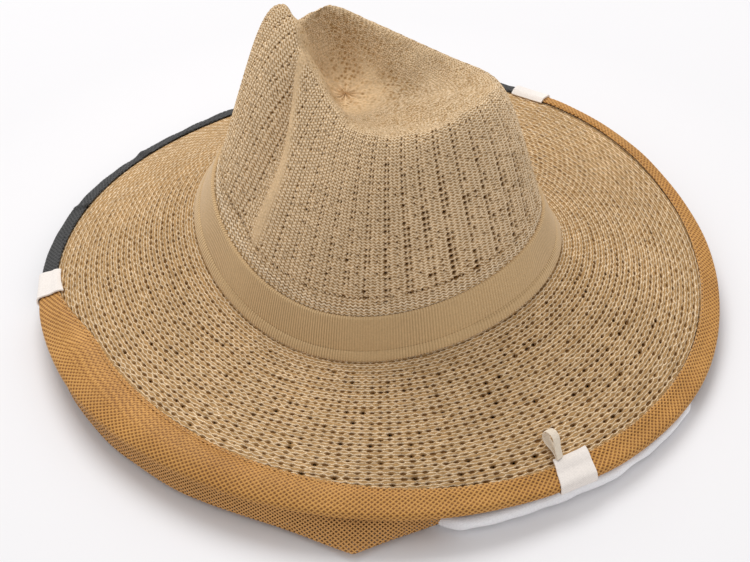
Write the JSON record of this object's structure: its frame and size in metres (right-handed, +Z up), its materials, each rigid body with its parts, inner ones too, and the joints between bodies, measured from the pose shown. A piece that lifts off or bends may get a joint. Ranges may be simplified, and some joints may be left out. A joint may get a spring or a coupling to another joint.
{
  "type": "beekeeping veil",
  "caption": "Knitted wide-brim hat with a pinched crown, ribbed band and wire-edged brim, and a netting veil with a cotton skirt folded up under the brim.",
  "frame": {"origin": "on the table under the middle of the whole hat, veil stowed", "axes": "+Z up, -Y the way the crown's pinched front faces, +X the wearer's left"},
  "size_m": [0.3826, 0.3792, 0.1774],
  "materials": {
    "knit": "open knit of stiff tan yarn",
    "band": "fine ribbed elastic band",
    "sweatband": "smooth woven tape",
    "wire": "spring steel wire",
    "ferrule": "crimped steel sleeve",
    "tan_netting": "ochre netting hem, small diamond holes",
    "black_netting": "black netting hem, slight shine",
    "thread": "sewing thread",
    "canvas": "off-white cotton canvas",
    "ribbon": "cream ribbon",
    "tan_veil": "tan netting, folded",
    "black_veil": "black netting, folded",
    "cotton": "plain white cotton cloth",
    "elastic": "flat braided elastic"
  },
  "bodies": {
    "hat": {"knit_crown": "knit", "knit_brim": "knit", "hatband": "band", "sweatband": "sweatband", "brim_hoop": "wire", "hoop_ferrule": "ferrule", "hem_tan_left": "tan_netting", "hem_tan_back": "tan_netting", "hem_black": "black_netting", "hem_stitching": "thread", "tab_front_left": "canvas", "tab_back_left": "canvas", "tab_right": "canvas", "veil_tan_left": "tan_veil", "veil_tan_back": "tan_veil", "veil_black_window": "black_veil"},
    "skirt": {"cotton_skirt": "cotton", "skirt_elastic": "elastic"},
    "loop": {"hanging_loop": "ribbon"}
  },
  "joints": [
    {"name": "veil_drop", "type": "slide", "parent": "hat", "child": "skirt", "axis": [0, 0, -1], "range_m": [0, 0.26], "deforming": ["veil_tan_left", "veil_tan_back", "veil_black_window"]},
    {"name": "loop_swing", "type": "hinge", "parent": "hat", "child": "loop", "pos_m": [0.09091, 0.14877, 0.02336], "axis": [-0.8499, 0.527, 0], "range_deg": [-2, 110]}
  ]
}
